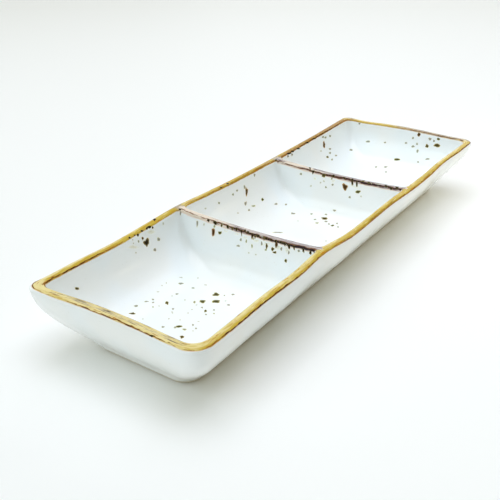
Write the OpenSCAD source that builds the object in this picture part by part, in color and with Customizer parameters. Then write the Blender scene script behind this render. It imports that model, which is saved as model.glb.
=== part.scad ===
// Divided sauce dish: a long, low, hand-shaped stoneware dish with three square basins in a row.
// +X runs along the dish to its far end, +Y is its left side and +Z is up.
// The origin is the middle of the foot, on the table. Lengths are in millimetres.

/* [Dish] */
// Length over the rim
rim_l = 246.6; // [225:1:270]
// Width over the rim
rim_w = 78.6; // [72:1:88]
// Height of the rim above the table
rim_h = 28.4; // [25:0.1:33]

/* [Foot] */
// Length of the foot ring where it meets the dish
foot_l = 220; // [205:1:230]
// Width of the foot ring where it meets the dish
foot_w = 47.4; // [45:0.2:54]
// Height of the foot ring
foot_h = 1.6; // [1.2:0.1:2.4]
// Width of the ring where it meets the dish
foot_ring_w = 4.2; // [3.6:0.1:5]
// Width of the flat sole that rests on the table
foot_sole_w = 2.6; // [1.8:0.1:3.4]
// Plan radius of the ring's outer corners
foot_corner_r = 7.5; // [6:0.5:10]
// Distance that the ring stands back from the lower edge of the wall
foot_edge = 0.8; // [0.4:0.1:1.6]

/* [Wall] */
// Width of the lip along the sides
lip_w = 3.6; // [3.2:0.1:4.6]
// Width of the lip along the ends
lip_end_w = 4; // [3.4:0.1:5]
// Radius of the lip's two edges
lip_edge_r = 0.9; // [0.8:0.1:1.3]
// Thickness of the floor under the basins
floor_t = 4; // [3.4:0.1:5]
// Distance from the foot's outer edge in to the flat of the basin floors
floor_edge_in = 11; // [10:0.5:13]
// Radius of the lip's outer corner at the far left
corner_far_left_r = 5; // [4:0.5:8]
// Radius of the lip's outer corner at the near left
corner_near_left_r = 4.5; // [4:0.5:8]
// Radius of the lip's outer corner at the near right
corner_near_right_r = 7.5; // [4:0.5:9]
// Radius of the lip's outer corner at the far right
corner_far_right_r = 6; // [4:0.5:8]
// Plan radius of the basin corners where they reach the floor
basin_floor_r = 9.5; // [8:0.5:10.5]

/* [Dividers] */
// Distance between the middles of the two dividers
divider_pitch = 80.6; // [74:0.2:88]
// Thickness of a divider at its crest
crest_w = 3.4; // [2.8:0.1:4.4]
// Dip of the crest halfway across the dish
crest_sag = 1.3; // [0.4:0.1:2.4]
// Height of the rounding on top of the crest
crest_round = 1; // [0.8:0.1:1.4]
// Lean of each divider face from its crest to the floor
divider_draft = 1.4; // [0.6:0.1:2.4]
// Radius of the fillet where a divider face meets the floor
divider_fillet_r = 9; // [6:0.5:12]
// Plan radius where a divider meets the side wall at the top
divider_corner_r = 2.5; // [2:0.25:4]
// Depth that a divider is set into the floor and the walls
seat_sink = 0.8; // [0.5:0.1:1.1]

/* [Glaze bands] */
// Thickness of the coloured glaze
glaze_t = 0.35; // [0.25:0.05:0.5]
// Height of the rim band on the outside
band_out_drop = 1.4; // [1.4:0.1:3]
// Height of the rim band on the inside
band_in_drop = 1.5; // [1.4:0.1:3]
// Height of the glaze on each side of a crest
crest_drop = 2.2; // [1.8:0.1:3]

/* [Hand-made waves] */
// Swing of the long sides in plan
side_wave = 0.65; // [0:0.05:1]
// Swing of the two ends in plan
end_wave = 1.1; // [0:0.05:1.4]
// Rise and fall of the rim
height_wave = 1; // [0:0.1:1.4]
// Swing of the lip's width along the sides
lip_wave = 0.6; // [0:0.05:0.8]
// Outward pull of the near left corner
corner_pull = 2.4; // [0:0.1:3]

/* [Hidden] */

// Steps round a corner, along a long side and along an end of the rim
arc_steps = 4;
long_steps = 28;
end_steps = 9;
// Steps along the two directions of one basin
basin_long_steps = 10;
basin_end_steps = 6;
// Steps across the dish along a crest
crest_steps = 14;
// Steps round an edge of the lip, on the glaze and on the clay below it
glaze_edge_steps = 3;
clay_edge_steps = 2;
// Overrun of every cut
overrun = 2;
$fn = 40;

// Swell of the outer wall: its offset goes as (1 - level ^ low) ^ high, fuller at the near end
swell_low = 1.3;
swell_high_near = 2.4;
swell_high_far = 1.7;
// Radius of the lip's inner corners, as a share of the outer ones
inner_corner_share = 0.8;
// Levels of the outer wall, and of a basin wall, as shares of their heights
wall_level_shares = [0, 0.04, 0.11, 0.2, 0.32, 0.46, 0.6, 0.75, 0.9, 1];
basin_level_shares = [0, 0.015, 0.06, 0.13, 0.23, 0.36, 0.53, 0.74, 1];
// Half of a rounded crest: shares of its half width and of the rounding's height
crown_shares = [[1, 1], [0.82, 0.42], [0.5, 0.12], [0, 0]];
// Powers that confine the end waves to the ends and the far end's own rise to that end
end_wave_narrowness = 4;
far_rise_narrowness = 8;
// Powers that confine the corner pull along and across the dish
pull_narrowness = [24, 8];
// Spread of the glaze envelope past a crest's own side
crown_skirt_share = 1.15;
// Flank of the foot ring: shares of its margin and of its height
foot_flank_shares = [[0, 1], [0.3, 0.45], [0.65, 0.14], [1, 0]];

// Swings of the long sides from the near end to the far end
side_swing_shares = [0, 0.65, -0.7, 0, -0.7, 0.5, -0.4, -0.9, 0.4, 0.3, -0.7, 0.85, 1.5];
// Swings of the ends from right to left, where a plus moves the end towards the far end
near_swing_shares = [0.05, 0.3, 0.9, 1, 0.5, -0.7, -1.3];
far_swing_shares = [-0.25, -0.3, -0.1, 0.1, -0.1, -0.5, -0.1];
// Swings of the lip's width from the near end to the far end
lip_swing_shares = [0, 0.9, 0.5, 0.4, 0.1, -0.2, -1, -1, 0.5, 0, -1, 0, 0];
// Rise of the rim from the near end to the far end, and of the far end from right to left
side_rise_shares = [0.05, 0.2, 0.15, 0.4, 1.4, 0.05, -0.3, -0.3, -0.8, -0.7, 0, -0.2, 0];
far_rise_shares = [0.05, -0.1, 0.2, 0.45, 0.2, -0.3, 0.1];

floor_z = foot_h + floor_t;
basin_top_z = rim_h - band_in_drop;
wall_top_z = rim_h - band_out_drop;
foot_margin = (foot_ring_w - foot_sole_w) / 2;
outer_corner_rs = [corner_far_left_r, corner_near_left_r, corner_near_right_r, corner_far_right_r];
divider_xs = [-divider_pitch / 2, divider_pitch / 2];
seat_half = crest_w / 2 + divider_corner_r;
white = [0.93, 0.94, 0.93];
ochre = [0.8, 0.62, 0.22];
violet_brown = [0.34, 0.27, 0.28];
bisque = [0.86, 0.84, 0.79];

// Numbers

function blend(a, b, k) = a + (b - a) * k;

function held(v) = min(max(v, 0), 1);

function entry(list, i) = list[min(max(i, 0), len(list) - 1)];

// Smooth curve through evenly spaced shares, at u from 0 to 1
function swing(shares, u) =
    let (n = len(shares) - 1,
         k = min(floor(u * n), n - 1),
         f = u * n - k,
         a = entry(shares, k - 1),
         b = entry(shares, k),
         c = entry(shares, k + 1),
         d = entry(shares, k + 2))
    b + f / 2 * (c - a + f * (2 * a - 5 * b + 4 * c - d + f * (3 * (b - c) + d - a)));

// Hand-made waves

// Plan point after the waves, at strength k from 0 at the foot to 1 at the rim, and at a share
// of the way in across the lip
function waved(p, k, in = 0) =
    let (u = held(0.5 + p[0] / rim_l),
         v = held(0.5 + p[1] / rim_w),
         near_end = p[0] < 0,
         near_to_end = pow(held(abs(2 * p[0] / rim_l)), end_wave_narrowness),
         end_swing = swing(near_end ? near_swing_shares : far_swing_shares, v),
         lip_swing = lip_wave * swing(lip_swing_shares, u),
         side_swing = side_wave * swing(side_swing_shares, u) - in * lip_swing,
         pull = pow(held(-2 * p[0] / rim_l), pull_narrowness[0])
                * pow(held(2 * p[1] / rim_w), pull_narrowness[1]))
    [p[0] + k * end_wave * near_to_end * end_swing,
     p[1] * (1 + k * side_swing * 2 / rim_w) + k * corner_pull * pull];

// Rise of the rim over its plain height at a plan point
function rise(p) =
    let (u = held(0.5 + p[0] / rim_l),
         v = held(0.5 + p[1] / rim_w),
         at_far_end = pow(held(2 * p[0] / rim_l), far_rise_narrowness))
    height_wave * blend(swing(side_rise_shares, u), swing(far_rise_shares, v), at_far_end);

// Outlines

// Quarter circle about a point, anticlockwise from a turn
function quarter(cx, cy, r, turn) =
    [for (j = [0:arc_steps])
        let (a = turn + 90 * j / arc_steps)
        [cx + r * cos(a), cy + r * sin(a)]];

function between(p, q, steps) = [for (j = [1:steps - 1]) p + (q - p) * j / steps];

// Rounded rectangle from x0 to x1 and y either side of the middle, anticlockwise from the far left
// corner; rs lists the radii at the far left, near left, near right and far right
function rounded(x0, x1, y, rs, steps_long, steps_end) =
    let (far_left = quarter(x1 - rs[0], y - rs[0], rs[0], 0),
         near_left = quarter(x0 + rs[1], y - rs[1], rs[1], 90),
         near_right = quarter(x0 + rs[2], rs[2] - y, rs[2], 180),
         far_right = quarter(x1 - rs[3], rs[3] - y, rs[3], 270))
    concat(far_left, between(far_left[arc_steps], near_left[0], steps_long),
           near_left, between(near_left[arc_steps], near_right[0], steps_end),
           near_right, between(near_right[arc_steps], far_right[0], steps_long),
           far_right, between(far_right[arc_steps], far_left[0], steps_end));

// Outer wall and lip

// Outline of the lip at a distance in from its outer face, in proportion at the wider ends
function lip_outline(inset) =
    let (in = inset / lip_w,
         rs = [for (r = outer_corner_rs) r * blend(1, inner_corner_share, min(in, 1))],
         end_x = rim_l / 2 - in * lip_end_w)
    rounded(-end_x, end_x, rim_w / 2 - inset, rs, long_steps, end_steps);

// Ring on the lip at a distance in from its outer face and a height over the rim line
function lip_ring(inset, up) =
    [for (p = lip_outline(inset))
        let (q = waved(p, 1, inset / lip_w))
        [q[0], q[1], rim_h + rise(p) + up]];

// Ring on the outer wall at a level from 0 at the foot to 1 at the lower edge of the rim band
function wall_ring(level) =
    let (low = rounded(-foot_l / 2 - foot_edge, foot_l / 2 + foot_edge, foot_w / 2 + foot_edge,
                       [for (r = outer_corner_rs) foot_corner_r + foot_edge], long_steps, end_steps),
         high = lip_outline(0))
    [for (i = [0:len(low) - 1])
        let (swell_high = blend(swell_high_near, swell_high_far, held(0.5 + high[i][0] / rim_l)),
             in = pow(1 - pow(level, swell_low), swell_high),
             p = blend(high[i], low[i], in),
             q = waved(p, level))
        [q[0], q[1], blend(foot_h, wall_top_z + rise(p), level)]];

// Places across the lip, as distance in and height over the rim line, from outside to inside;
// depth is how far they lie below the finished glaze
function lip_section(depth, steps) =
    let (r = lip_edge_r - depth,
         edge = [for (j = [0:steps])
             [lip_edge_r - r * cos(90 * j / steps), r * sin(90 * j / steps) - lip_edge_r]])
    concat(edge, [for (p = reversed(edge)) [lip_w - p[0], p[1]]]);

// Basins

function basin_level(z) = held((z - floor_z) / (basin_top_z - floor_z));

// Share of the way from the floor's edge out to the lip, on an elliptical wall
function basin_spread(level) = sqrt(1 - pow(1 - level, 2));

function basin_side(level) =
    blend(foot_w / 2 - floor_edge_in, rim_w / 2 - lip_w, basin_spread(level));

function basin_end(level) =
    blend(foot_l / 2 - floor_edge_in, rim_l / 2 - lip_end_w, basin_spread(level));

// Half thickness of a divider at a level of the basin wall
function divider_half(level) =
    let (r = min(divider_fillet_r, basin_top_z - floor_z),
         up = min(level * (basin_top_z - floor_z), r))
    crest_w / 2 + divider_draft * (1 - level) + r - sqrt(r * r - pow(r - up, 2));

// Ring round one basin; basin 0 is the near one and basin 2 the far one
function basin_ring(basin, z) =
    let (level = basin_level(z),
         x0 = basin == 0 ? -basin_end(level) : divider_xs[basin - 1] + divider_half(level),
         x1 = basin == 2 ? basin_end(level) : divider_xs[basin] - divider_half(level),
         at_rim = [basin == 2, basin == 0, basin == 0, basin == 2],
         top_rs = [for (c = [0:3])
             at_rim[c] ? outer_corner_rs[c] * inner_corner_share : divider_corner_r],
         rs = [for (r = top_rs) blend(basin_floor_r, r, basin_spread(level))],
         plan = rounded(x0, x1, basin_side(level), rs, basin_long_steps, basin_end_steps))
    [for (p = plan) let (q = waved(p, level, level)) [q[0], q[1], z]];

// Crests

// Half width across the dish, at a divider, inside the lip
function crest_reach(x) = waved([x, rim_w / 2 - lip_w], 1, 1)[1];

// Height of a crest at a distance across the dish
function crest_z(x, y) =
    rim_h + rise([x, y]) - crest_sag * (1 - pow(min(abs(y) / crest_reach(x), 1), 2));

// Half width of a crest, which flares into the side wall
function crest_half(x, y) =
    let (into = held((abs(y) - crest_reach(x)) / divider_corner_r + 1))
    crest_w / 2 + divider_corner_r * (1 - sqrt(1 - into * into));

// Rounded top from left to right, for a half width and a height of its middle
function crown(half, top) =
    concat([for (s = crown_shares) [-s[0] * half, top - s[1] * crest_round]],
           [for (j = [len(crown_shares) - 2:-1:0])
               [crown_shares[j][0] * half, top - crown_shares[j][1] * crest_round]]);

function reversed(list) = [for (i = [len(list) - 1:-1:0]) list[i]];

// Section of everything below a crest's glaze
function core_section(x, y) =
    let (half = crest_half(x, y) - glaze_t,
         wide = seat_half + overrun,
         low = crest_z(x, y) - crest_drop)
    concat([[-wide, -overrun], [-wide, low], [-half, low]],
           crown(half, crest_z(x, y) - glaze_t),
           [[half, low], [wide, low], [wide, -overrun]]);

// Section of a crest down to the glaze's lower edge, wider than the divider, which trims it
function coat_section(x, y) =
    let (half = crest_half(x, y),
         low = crest_z(x, y) - crest_drop)
    concat([[-half * crown_skirt_share, low]],
           crown(half, crest_z(x, y)),
           [[half * crown_skirt_share, low]]);

// Stations across the dish, closer together near the walls
function crest_stations(x) =
    let (reach = crest_reach(x) + seat_sink + overrun)
    [for (j = [0:crest_steps]) reach * sin(180 * j / crest_steps - 90)];

// Builders

// Triangles between two neighbouring rings of n points that start at a and b
function strip(a, b, n) =
    [for (i = [0:n - 1]) let (k = (i + 1) % n) each [[a + i, b + k, a + k], [a + i, b + i, b + k]]];

function total(list, i = 0) = i < len(list) - 1 ? list[i] + total(list, i + 1) : list[i];

function middle(ring) = total(ring) / len(ring);

// Closed solid through a stack of rings, whose flat ends are fans about their middles
module loft(rings) {
    n = len(rings[0]);
    last = n * (len(rings) - 1);
    base = n * len(rings);
    polyhedron(
        points = concat([for (ring = rings) each ring],
                        [middle(rings[0]), middle(rings[len(rings) - 1])]),
        faces = concat(
            [for (i = [0:n - 1]) [i, (i + 1) % n, base]],
            [for (j = [0:len(rings) - 2]) each strip(j * n, (j + 1) * n, n)],
            [for (i = [0:n - 1]) [last + (i + 1) % n, last + i, base + 1]]));
}

// Closed solid through rings whose last joins the first
module hoop(rings) {
    n = len(rings[0]);
    m = len(rings);
    polyhedron(
        points = [for (ring = rings) each ring],
        faces = [for (j = [0:m - 1]) each strip(j * n, ((j + 1) % m) * n, n)]);
}

// The dish before it is hollowed, with the coloured glaze left off the lip
module blank() {
    inner_z = basin_top_z - height_wave - lip_w;
    loft(concat(
        [for (level = wall_level_shares) wall_ring(level)],
        [lip_ring(glaze_t, -band_out_drop)],
        [for (s = lip_section(glaze_t, clay_edge_steps)) lip_ring(s[0], s[1])],
        [lip_ring(lip_w - glaze_t, -band_in_drop), lip_ring(lip_w, -band_in_drop)],
        [[for (p = lip_outline(lip_w + overrun)) [p[0], p[1], inner_z]]]));
}

module basins(list = [0, 1, 2]) {
    depth = basin_top_z - floor_z;
    for (basin = list)
        loft(concat(
            [for (level = basin_level_shares) basin_ring(basin, floor_z + level * depth)],
            [basin_ring(basin, rim_h + height_wave + overrun)]));
}

// Block that a divider fills between two basins, set into the floor and the walls
module seat(x) {
    edge = [for (level = basin_level_shares)
        [waved([x, basin_side(level)], level, level)[1] + seat_sink,
         blend(floor_z, basin_top_z, level) - seat_sink]];
    top = [crest_reach(x) + seat_sink, rim_h + height_wave + overrun];
    right = concat(edge, [top]);
    translate([x, 0, 0])
        rotate([90, 0, 90])
            linear_extrude(height = 2 * seat_half, center = true)
                polygon(concat(right, reversed([for (p = right) [-p[0], p[1]]])));
}

module seats() {
    for (x = divider_xs)
        seat(x);
}

// Closed solid through sections across the dish at a divider
module crosswise(x, sections, stations) {
    loft([for (j = [0:len(stations) - 1])
        [for (p = sections[j]) [x + p[0], stations[j], p[1]]]]);
}

module divider(i) {
    x = divider_xs[i];
    stations = crest_stations(x);
    color(white)
        difference() {
            intersection() {
                seat(x);
                crosswise(x, [for (y = stations) core_section(x, y)], stations);
            }
            basins([i, i + 1]);
        }
}

module crest_coat(i) {
    x = divider_xs[i];
    stations = crest_stations(x);
    color(violet_brown)
        difference() {
            intersection() {
                seat(x);
                crosswise(x, [for (y = stations) coat_section(x, y)], stations);
            }
            crosswise(x, [for (y = stations) core_section(x, y)], stations);
            basins([i, i + 1]);
        }
}

// Sub-parts

module dish_shell() {
    color(white)
        difference() {
            blank();
            basins();
            seats();
        }
}

// Points of the foot ring's section, as distance in from its outer edge and height
function foot_section() =
    let (flank = [for (s = foot_flank_shares) [s[0] * foot_margin, s[1] * foot_h]])
    concat(flank, reversed([for (p = flank) [foot_ring_w - p[0], p[1]]]));

// One straight stretch of the foot ring, for its distance from the middle
module foot_side(out, length) {
    rotate([90, 0, 90])
        linear_extrude(height = length, center = true)
            polygon([for (p = foot_section()) [out - p[0], p[1]]]);
}

module foot_ring() {
    color(bisque)
        for (turn = [0, 180])
            rotate([0, 0, turn]) {
                foot_side(foot_w / 2, foot_l - 2 * foot_corner_r);
                rotate([0, 0, 90])
                    foot_side(foot_l / 2, foot_w - 2 * foot_corner_r);
                for (side = [1, -1])
                    translate([foot_l / 2 - foot_corner_r, side * (foot_w / 2 - foot_corner_r), 0])
                        rotate([0, 0, side > 0 ? 0 : -90])
                            rotate_extrude(angle = 90)
                                polygon([for (p = foot_section()) [foot_corner_r - p[0], p[1]]]);
            }
}

module near_divider() {
    divider(0);
}

module far_divider() {
    divider(1);
}

module rim_band() {
    color(ochre)
        difference() {
            hoop(concat(
                [lip_ring(0, -band_out_drop)],
                [for (s = lip_section(0, glaze_edge_steps)) lip_ring(s[0], s[1])],
                [lip_ring(lip_w, -band_in_drop), lip_ring(lip_w - glaze_t, -band_in_drop)],
                [for (s = reversed(lip_section(glaze_t, clay_edge_steps))) lip_ring(s[0], s[1])],
                [lip_ring(glaze_t, -band_out_drop)]));
            seats();
        }
}

module near_divider_crest() {
    crest_coat(0);
}

module far_divider_crest() {
    crest_coat(1);
}

dish_shell();
foot_ring();
near_divider();
far_divider();
rim_band();
near_divider_crest();
far_divider_crest();
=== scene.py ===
# Divided sauce dish in white speckled glaze with an amber rim, dressed over its CAD frame.
# Lengths are in millimetres until a mesh is made; +X runs to the far end and +Y is the left side.
import math
import random

import bpy
import numpy as np
from mathutils import Matrix, Vector
from mathutils.bvhtree import BVHTree


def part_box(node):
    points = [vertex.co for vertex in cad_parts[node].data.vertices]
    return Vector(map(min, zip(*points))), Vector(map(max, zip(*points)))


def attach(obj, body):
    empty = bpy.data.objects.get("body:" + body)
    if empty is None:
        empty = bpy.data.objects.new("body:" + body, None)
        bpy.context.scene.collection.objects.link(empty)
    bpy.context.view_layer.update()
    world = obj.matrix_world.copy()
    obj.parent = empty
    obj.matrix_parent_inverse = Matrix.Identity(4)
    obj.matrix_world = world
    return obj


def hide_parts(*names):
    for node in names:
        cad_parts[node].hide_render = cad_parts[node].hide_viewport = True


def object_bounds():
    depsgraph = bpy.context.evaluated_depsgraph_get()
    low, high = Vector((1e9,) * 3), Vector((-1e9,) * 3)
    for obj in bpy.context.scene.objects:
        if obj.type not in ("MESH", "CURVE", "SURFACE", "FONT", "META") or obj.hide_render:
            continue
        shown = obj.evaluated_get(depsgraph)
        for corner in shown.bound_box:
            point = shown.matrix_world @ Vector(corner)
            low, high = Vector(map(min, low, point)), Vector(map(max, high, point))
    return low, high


MM = 0.001
SEED = 7

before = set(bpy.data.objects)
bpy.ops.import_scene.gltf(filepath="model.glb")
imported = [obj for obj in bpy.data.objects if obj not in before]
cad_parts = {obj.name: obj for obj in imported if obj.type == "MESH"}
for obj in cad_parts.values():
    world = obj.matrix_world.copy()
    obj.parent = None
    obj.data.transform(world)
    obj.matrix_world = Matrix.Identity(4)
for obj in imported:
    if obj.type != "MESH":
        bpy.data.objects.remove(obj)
cad_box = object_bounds()


def frame_box(node):
    """Lowest and highest corner of a CAD node, in millimetres."""
    low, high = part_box(node)
    return np.array(low) / MM, np.array(high) / MM


# Sizes that the frame gives
foot_low, foot_high = frame_box("foot_ring")
foot_l, foot_w, foot_h = foot_high - foot_low
divider_xs = [sum(corner[0] for corner in frame_box(node)) / 2 for node in ("near_divider", "far_divider")]

# Sizes of the rim and the walls, as in the CAD source
rim_l, rim_w, rim_h = 246.6, 78.6, 28.4
lip_w, lip_end_w, lip_edge_r = 3.6, 4.0, 0.9
corner_rs = np.array([5.0, 4.5, 7.5, 6.0])
inner_corner_share = 0.8
foot_edge, foot_corner_r = 0.8, 7.5
foot_ring_w, foot_sole_w = 4.2, 2.6
floor_t, floor_edge_in, basin_floor_r = 4.0, 11.0, 9.5
crest_w, crest_sag, crest_round = 3.4, 1.3, 1.0
divider_draft, divider_fillet_r, divider_corner_r = 1.4, 9.0, 2.5
band_out_drop, band_in_drop, crest_drop = 1.4, 1.5, 2.2
swell_low, swell_high_near, swell_high_far = 1.3, 2.4, 1.7
floor_z = foot_h + floor_t
basin_top_z = rim_h - band_in_drop
wall_top_z = rim_h - band_out_drop
reach = rim_w / 2 - lip_w
seat_half = crest_w / 2 + divider_corner_r

# Hand-made waves, from the near end to the far end or from right to left
side_wave, end_wave, height_wave, lip_wave, corner_pull = 0.65, 1.1, 1.0, 0.6, 2.4
side_swing_shares = [0, 0.65, -0.7, 0, -0.7, 0.5, -0.4, -0.9, 0.4, 0.3, -0.7, 0.85, 1.5]
near_swing_shares = [0.05, 0.3, 0.9, 1, 0.5, -0.7, -1.3]
far_swing_shares = [-0.25, -0.3, -0.1, 0.1, -0.1, -0.5, -0.1]
lip_swing_shares = [0, 0.9, 0.5, 0.4, 0.1, -0.2, -1, -1, 0.5, 0, -1, 0, 0]
side_rise_shares = [0.05, 0.2, 0.15, 0.4, 1.4, 0.05, -0.3, -0.3, -0.8, -0.7, 0, -0.2, 0]
far_rise_shares = [0.05, -0.1, 0.2, 0.45, 0.2, -0.3, 0.1]
end_wave_narrowness, far_rise_narrowness = 4, 8
pull_narrowness = (24, 8)

# Mesh steps
arc_steps = 12
side_steps, end_steps = 64, 56
wall_steps, outer_steps, edge_steps, underside_steps = 26, 24, 6, 4
outer_crowding = 1.3
underside_edge_r = 0.5
lip_middle = 0.5
lip_top_shares = (0.375, lip_middle)
crest_edge_share = 0.94
floor_shrink_shares = (0.85, 0.68, 0.5, 0.3, 0.12)
glaze_rows = edge_steps + len(lip_top_shares)
share_digits, weld_digits = 9, 4
tiny, weight_floor = 1e-12, 1e-6
flank_steps, flank_power = 6, 2.1
foot_sharp_angle = 50

# Camera, solved from the photograph's rim, divider and foot edges; it sees between two distances in metres
image_size = 500
camera_at = Vector((-268.596, -160.937, 164.449))
camera_azimuth, camera_elevation, camera_roll = map(math.radians, (-55.0994, 27.5678, -0.4392))
camera_focal = 736.13
sensor_w = 36.0
clip_near, clip_far = 0.01, 20


# Numbers

def held(v):
    return np.clip(v, 0, 1)


def blend(a, b, k):
    return a + (b - a) * k


def swing(shares, u):
    """Smooth curve through evenly spaced shares, at u from 0 to 1."""
    values = np.array(shares, float)
    n = len(shares) - 1
    k = np.minimum(np.floor(held(u) * n), n - 1).astype(int)
    f = held(u) * n - k
    a, b, c, d = (values[np.clip(k + step, 0, n)] for step in (-1, 0, 1, 2))
    return b + f / 2 * (c - a + f * (2 * a - 5 * b + 4 * c - d + f * (3 * (b - c) + d - a)))


def waved(x, y, k, across=0):
    """Plan point after the hand-made waves, at strength k and at a share of the way across the lip."""
    u, v = held(0.5 + x / rim_l), held(0.5 + y / rim_w)
    end_swing = np.where(x < 0, swing(near_swing_shares, v), swing(far_swing_shares, v))
    side_swing = side_wave * swing(side_swing_shares, u) - across * lip_wave * swing(lip_swing_shares, u)
    pull = held(-2 * x / rim_l) ** pull_narrowness[0] * held(2 * y / rim_w) ** pull_narrowness[1]
    near_to_end = held(abs(2 * x / rim_l)) ** end_wave_narrowness
    return (x + k * end_wave * near_to_end * end_swing,
            y * (1 + k * side_swing * 2 / rim_w) + k * corner_pull * pull)


def rise(x, y):
    """Rise of the rim over its plain height."""
    at_far_end = held(2 * x / rim_l) ** far_rise_narrowness
    along = swing(side_rise_shares, held(0.5 + x / rim_l))
    return height_wave * blend(along, swing(far_rise_shares, held(0.5 + y / rim_w)), at_far_end)


def rounded(x0, x1, y, rs, seg, share):
    """Points of a rounded rectangle. Even segments are its corners and odd ones its sides, anticlockwise
    from the far left corner, and share runs from 0 to 1 along each."""
    n = len(seg)
    x0, x1, y = (np.broadcast_to(v, n).astype(float) for v in (x0, x1, y))
    rs = [np.broadcast_to(r, n).astype(float) for r in rs]
    xs = (x1 - rs[0], x0 + rs[1], x0 + rs[2], x1 - rs[3])
    ys = (y - rs[0], y - rs[1], rs[2] - y, rs[3] - y)

    def on_arc(corner, turn):
        return xs[corner] + rs[corner] * np.cos(turn), ys[corner] + rs[corner] * np.sin(turn)

    px, py = np.zeros(n), np.zeros(n)
    for corner in range(4):
        ax, ay = on_arc(corner, np.radians(90 * (corner + share)))
        start = on_arc(corner, math.radians(90 * (corner + 1)))
        end = on_arc((corner + 1) % 4, math.radians(90 * (corner + 1)))
        arc, side = seg == 2 * corner, seg == 2 * corner + 1
        px = np.where(arc, ax, np.where(side, blend(start[0], end[0], share), px))
        py = np.where(arc, ay, np.where(side, blend(start[1], end[1], share), py))
    return px, py


# Columns: places round one basin and round the whole dish

def ring_columns():
    """Segment and share of every column round one basin."""
    columns = []
    for corner in range(4):
        columns += [(2 * corner, j / arc_steps) for j in range(arc_steps + 1)]
        steps = (side_steps, end_steps)[corner % 2]
        columns += [(2 * corner + 1, j / steps) for j in range(1, steps)]
    seg, share = zip(*columns)
    return np.array(seg), np.array(share)


def basin_level(z):
    return held((z - floor_z) / (basin_top_z - floor_z))


def divider_half(level):
    """Half thickness of a divider at a level of the basin wall."""
    up = np.minimum(level * (basin_top_z - floor_z), divider_fillet_r)
    fillet = divider_fillet_r - np.sqrt(divider_fillet_r ** 2 - (divider_fillet_r - up) ** 2)
    return crest_w / 2 + divider_draft * (1 - level) + fillet


def corner_at_rim(basin, corner):
    """Whether a basin's corner lies at an end of the dish."""
    return basin == (2 if corner in (0, 3) else 0)


def basin_plan(basin, z, seg, share):
    """Plan of a basin's wall at a height, before the waves."""
    level = basin_level(z)
    spread = np.sqrt(1 - (1 - level) ** 2)
    end = blend(foot_l / 2 - floor_edge_in, rim_l / 2 - lip_end_w, spread)
    side = blend(foot_w / 2 - floor_edge_in, reach, spread)
    x0 = -end if basin == 0 else divider_xs[basin - 1] + divider_half(level)
    x1 = end if basin == 2 else divider_xs[basin] - divider_half(level)
    top_rs = [rim_r * inner_corner_share if corner_at_rim(basin, corner) else divider_corner_r
              for corner, rim_r in enumerate(corner_rs)]
    return rounded(x0, x1, side, [blend(basin_floor_r, r, spread) for r in top_rs], seg, share)


def lip_plan(across, seg, share):
    """Plan of the lip at a share of the way in from its outer face, before the waves."""
    rs = [r * blend(1, inner_corner_share, min(across, 1)) for r in corner_rs]
    end = rim_l / 2 - across * lip_end_w
    return rounded(-end, end, rim_w / 2 - across * lip_w, rs, seg, share)


def lip_row(across, up, seg, share):
    x, y = lip_plan(across, seg, share)
    wx, wy = waved(x, y, 1, across)
    return np.stack([wx, wy, rim_h + rise(x, y) + up], 1)


def sag(y):
    return crest_sag * (1 - held(abs(y) / reach) ** 2)


def middle_share(place, side):
    """Share of the way along a straight side of the lip's middle line, for a place beside it."""
    rs = corner_rs * blend(1, inner_corner_share, lip_middle)
    half = rim_l / 2 - lip_end_w / 2 if side in (1, 5) else rim_w / 2 - lip_w / 2
    sign = 1 if side < 4 else -1
    start = sign * (half - rs[side // 2])
    finish = sign * (rs[(side // 2 + 1) % 4] - half)
    return (start - place) / (start - finish)


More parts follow.
